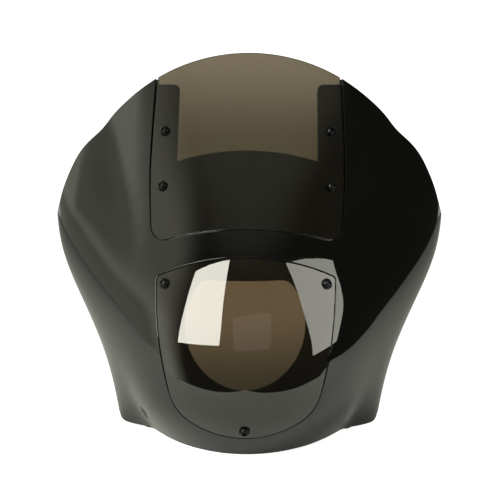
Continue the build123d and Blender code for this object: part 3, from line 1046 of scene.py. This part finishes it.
def washer_profile():
    """A flat washer with eased outer edges."""
    return [
        (HOLE_RADIUS, 0, 0),
        (WASHER_RADIUS - WASHER_EASE, 0, 0),
        (WASHER_RADIUS, 0, WASHER_EASE),
        (WASHER_RADIUS, 0, WASHER_THICKNESS - WASHER_EASE),
        (WASHER_RADIUS - WASHER_EASE, 0, WASHER_THICKNESS),
        (HOLE_RADIUS, 0, WASHER_THICKNESS),
        (HOLE_RADIUS, 0, 0),
    ]


def lock_nut_profile():
    """From the washer: a hexagon with eased corners, then the round collar of the locking ring."""
    bore = THREAD_RADIUS + NUT_BORE_GAP
    flat = NUT_FLATS / 2
    end = NUT_HEX_HEIGHT + NUT_COLLAR_HEIGHT
    return [
        (bore, 0, 0),
        (flat - NUT_CORNER_INSET, 0, 0),
        (flat, 1, -NUT_CORNER_DROP),
        (flat, 1, -NUT_HEX_HEIGHT + NUT_CORNER_DROP),
        (flat - NUT_CORNER_INSET, 0, -NUT_HEX_HEIGHT),
        (NUT_COLLAR_RADIUS, 0, -NUT_HEX_HEIGHT),
        (NUT_COLLAR_RADIUS, 0, -end + NUT_COLLAR_EASE),
        (NUT_COLLAR_RADIUS - NUT_COLLAR_EASE, 0, -end),
        (bore, 0, -end),
        (bore, 0, 0),
    ]


def insert_profile():
    """A brass insert with an eased rim and a countersunk mouth."""
    return [
        (INSERT_THREAD_RADIUS, 0, -INSERT_LENGTH),
        (INSERT_RADIUS, 0, -INSERT_LENGTH),
        (INSERT_RADIUS, 0, -INSERT_EASE),
        (INSERT_RADIUS - INSERT_EASE, 0, 0),
        (INSERT_THREAD_RADIUS + INSERT_MOUTH, 0, 0),
        (INSERT_THREAD_RADIUS, 0, -INSERT_MOUTH),
        (INSERT_THREAD_RADIUS, 0, -INSERT_LENGTH),
    ]


back = np.array([0.0, 1.0, 0.0])
insert_seats = [
    (np.array([side * x, y, z]), None, None, back) for x, y, z in (LOWER_BOSS, UPPER_BOSS) for side in (-1, 1)
]
fasteners = {
    "windscreen_screws": (screw_profile(), screen_seats, 0, black_steel, "black_steel"),
    "windscreen_washers": (washer_profile(), screen_seats, WASHER_SEAT_GAP, black_steel, "black_steel"),
    "windscreen_back_washers": (washer_profile(), screen_seats, -nut_top, zinc_steel, "zinc_steel"),
    "windscreen_lock_nuts": (lock_nut_profile(), screen_seats, -nut_top, zinc_steel, "zinc_steel"),
    "lens_screws": (screw_profile(), lens_seats, 0, black_steel, "black_steel"),
    "lens_washers": (washer_profile(), lens_seats, WASHER_SEAT_GAP, black_steel, "black_steel"),
    "lens_back_washers": (washer_profile(), lens_seats, -nut_top, zinc_steel, "zinc_steel"),
    "lens_lock_nuts": (lock_nut_profile(), lens_seats, -nut_top, zinc_steel, "zinc_steel"),
    "bracket_inserts": (insert_profile(), insert_seats, INSERT_PROUD, turned_brass, "brass"),
}
for node_name, (profile, seats, lift, finish, slot_name) in fasteners.items():
    piece = turned_fastener("fitted_" + node_name, profile, seats, lift, finish)
    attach(piece, "root")
    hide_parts(node_name)

for piece, node_name, slot_name in (
    (shell_piece, "cowl_shell", "gloss_black_abs"),
    (screen_piece, "windscreen", "smoked_acrylic"),
    (lens_piece, "headlight_lens", "smoked_acrylic"),
):
    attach(piece, "root")
    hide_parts(node_name)
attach(boss_piece, "root")


# Stage: a pale table with a pale wall behind it, soft boxes on both sides of a dim room, and the camera

WARM_WHITE = (1.0, 0.99, 0.88)
ROOM_TONE = (0.98, 1.0, 0.82)
PAPER_WHITE = (0.9, 0.9, 0.9, 1)
PAPER_ROUGHNESS = 0.9
FLOOR_EDGE = (
    (-3.0, 2.2), (-1.9, 0.4), (-1.1, 0.05), (-1.1, -0.16), (-0.42, -0.16), (-0.30, -0.28), (0, -0.56),
    (0.28, -0.26), (0.40, -0.17), (0.68, -0.16), (0.65, 0.15), (1.1, 0.35), (1.6, 0.8), (3.0, 2.2),
)
BACKDROP_TOP = 2.5
COWL_MIDDLE = Vector((0, 0, 0.2))
LEFT_BOX_CORNERS = ((-54.9, 35.1), (-22.0, 48.6), (-26.4, 13.7), (-62.7, 3.8))
RIGHT_BOX_CORNERS = ((43.8, 39.9), (77.6, 25.8), (77.4, -7.8), (59.9, -8.2))

# How light the room is that the gloss mirrors
ROOM_LEVEL = 0.04
OVERHEAD_LEVEL = 0.15
LEFT_WALL_FOOT = 0.95
LEFT_WALL_TOP = 0.50
LOW_CORNER_SHADE = 0.45
HIGH_CORNER_LIGHT = 1.0

CAMERA_TARGET = Vector((0.0035, 0.0, 0.2175))
CAMERA_DISTANCE = 1.7
CAMERA_AZIMUTH = 1.3
CAMERA_ELEVATION = 8.0
CAMERA_FOCUS_PIXELS = 1490.8
CAMERA_SENSOR = 36.0
PHOTO_PIXELS = 500


def plain_sheet(name, corners, material):
    """A flat sheet of the stage."""
    mesh = bpy.data.meshes.new(name)
    mesh.from_pydata(corners, [], [range(len(corners))])
    sheet = new_piece(name, mesh, material)
    return sheet


def pale_paper(name, seen_glow, mirrored_glow):
    """Paper that is white to the camera and through smoked pieces, and dimmer where the gloss mirrors it."""
    g = new_finish(name)
    seen = g.ray("Is Camera Ray") + g.ray("Is Transmission Ray")
    glow = seen_glow * seen + mirrored_glow * g.ray("Is Glossy Ray")
    g.set(
        Base_Color=PAPER_WHITE,
        Roughness=PAPER_ROUGHNESS,
        Emission_Color=g.mix(glow, (0, 0, 0), (1, 1, 1)),
        Emission_Strength=1.0,
    )
    return g.owner


def way_to(azimuth, elevation):
    """A direction from the cowl in degrees. Azimuth 0 is the camera's side, and 90 is the cowl's +X side."""
    turn, rise = math.radians(azimuth), math.radians(elevation)
    return Vector((math.sin(turn) * math.cos(rise), -math.cos(turn) * math.cos(rise), math.sin(rise)))


def soft_box(name, directions, distance, radiance):
    """A cloth-fronted lamp with its four corners in the given directions from the cowl."""
    g = new_finish(name + "_cloth")
    g.set(Base_Color=(0, 0, 0, 1), Emission_Color=(*WARM_WHITE, 1), Emission_Strength=radiance)
    corners = [COWL_MIDDLE + way_to(*direction) * distance for direction in directions]
    box = plain_sheet(name, corners, g.owner)
    box.visible_camera = False
    box.visible_transmission = False


def wide_lamp(name, direction, distance, width, height, radiance, mirrored_too):
    """A large dim rectangular lamp that faces the cowl, and may show in what the gloss mirrors."""
    way = way_to(*direction)
    lamp = bpy.data.lights.new(name, "AREA")
    lamp.shape = "RECTANGLE"
    lamp.size = width
    lamp.size_y = height
    lamp.color = WARM_WHITE
    lamp.energy = radiance * math.pi * width * height
    holder = bpy.data.objects.new(name, lamp)
    holder.location = COWL_MIDDLE + way * distance
    holder.rotation_euler = (-way).to_track_quat("-Z", "Y").to_euler()
    holder.visible_camera = False
    holder.visible_transmission = False
    holder.visible_glossy = mirrored_too
    scene.collection.objects.link(holder)


floor_corners = [(x, y, 0) for x, y in FLOOR_EDGE]
plain_sheet("floor", floor_corners, pale_paper("pale_floor", seen_glow=0.85, mirrored_glow=0.05))
rear_left, rear_right = FLOOR_EDGE[0], FLOOR_EDGE[-1]
backdrop_corners = [
    (*rear_left, 0), (*rear_right, 0), (*rear_right, BACKDROP_TOP), (*rear_left, BACKDROP_TOP),
]
plain_sheet("backdrop", backdrop_corners, pale_paper("pale_backdrop", seen_glow=1.0, mirrored_glow=0.8))

soft_box("left_soft_box", LEFT_BOX_CORNERS, distance=1.5, radiance=8.0)
soft_box("right_soft_box", RIGHT_BOX_CORNERS, distance=0.7, radiance=2.7)
wide_lamp("room_window", (6, 23), distance=2.83, width=1.8, height=0.87, radiance=0.22, mirrored_too=True)
wide_lamp("rear_fill", (168, 42), distance=2.2, width=1.8, height=1.4, radiance=1.0, mirrored_too=False)


def dim_studio():
    """White to the camera and through smoked pieces. The gloss mirrors a dim room, lighter on the left.

    aside, behind and above are the parts of a direction along +X, +Y and +Z, from -1 to 1.
    """
    g = Graph(bpy.data.worlds.new("dim_studio"), "Background")
    way = g.node("ShaderNodeTexCoord", {}, {}, "Generated")
    aside, behind, above = [g.node("ShaderNodeSeparateXYZ", {}, {0: way}, axis) for axis in "XYZ"]
    overhead = g.between(above, 0.70, 0.94, 0.0, OVERHEAD_LEVEL)
    left_wall = g.between(above, 0.22, 0.45, LEFT_WALL_FOOT, LEFT_WALL_TOP)
    low_corner = g.between(above, 0.15, 0.32, LOW_CORNER_SHADE, 0.0)
    low_corner *= g.between(behind, -0.22, -0.02, 0.0, 1.0)
    high_corner = g.between(above, 0.25, 0.45, 0.0, HIGH_CORNER_LIGHT)
    high_corner *= g.between(behind, -0.04, 0.16, 0.0, 1.0)
    beside_cowl = g.between(aside, -0.80, -0.45, 1.0, 0.0) * g.between(behind, -0.50, -0.20, 0.0, 1.0)
    room = ROOM_LEVEL + overhead + (left_wall - low_corner + high_corner) * beside_cowl
    seen = g.ray("Is Camera Ray") + g.ray("Is Transmission Ray")
    g.set(Color=g.mix(seen, g.mix(room, (0, 0, 0), ROOM_TONE), (1, 1, 1)))
    return g.owner


scene.world = dim_studio()

camera_data = bpy.data.cameras.new("camera")
camera = bpy.data.objects.new("camera", camera_data)
scene.collection.objects.link(camera)
scene.camera = camera
camera_data.sensor_width = CAMERA_SENSOR
camera_data.lens = CAMERA_FOCUS_PIXELS / PHOTO_PIXELS * CAMERA_SENSOR
camera_way = way_to(CAMERA_AZIMUTH, CAMERA_ELEVATION)
camera.location = CAMERA_TARGET + camera_way * CAMERA_DISTANCE
camera.rotation_euler = (-camera_way).to_track_quat("-Z", "Y").to_euler()

scene.view_settings.view_transform = "Standard"
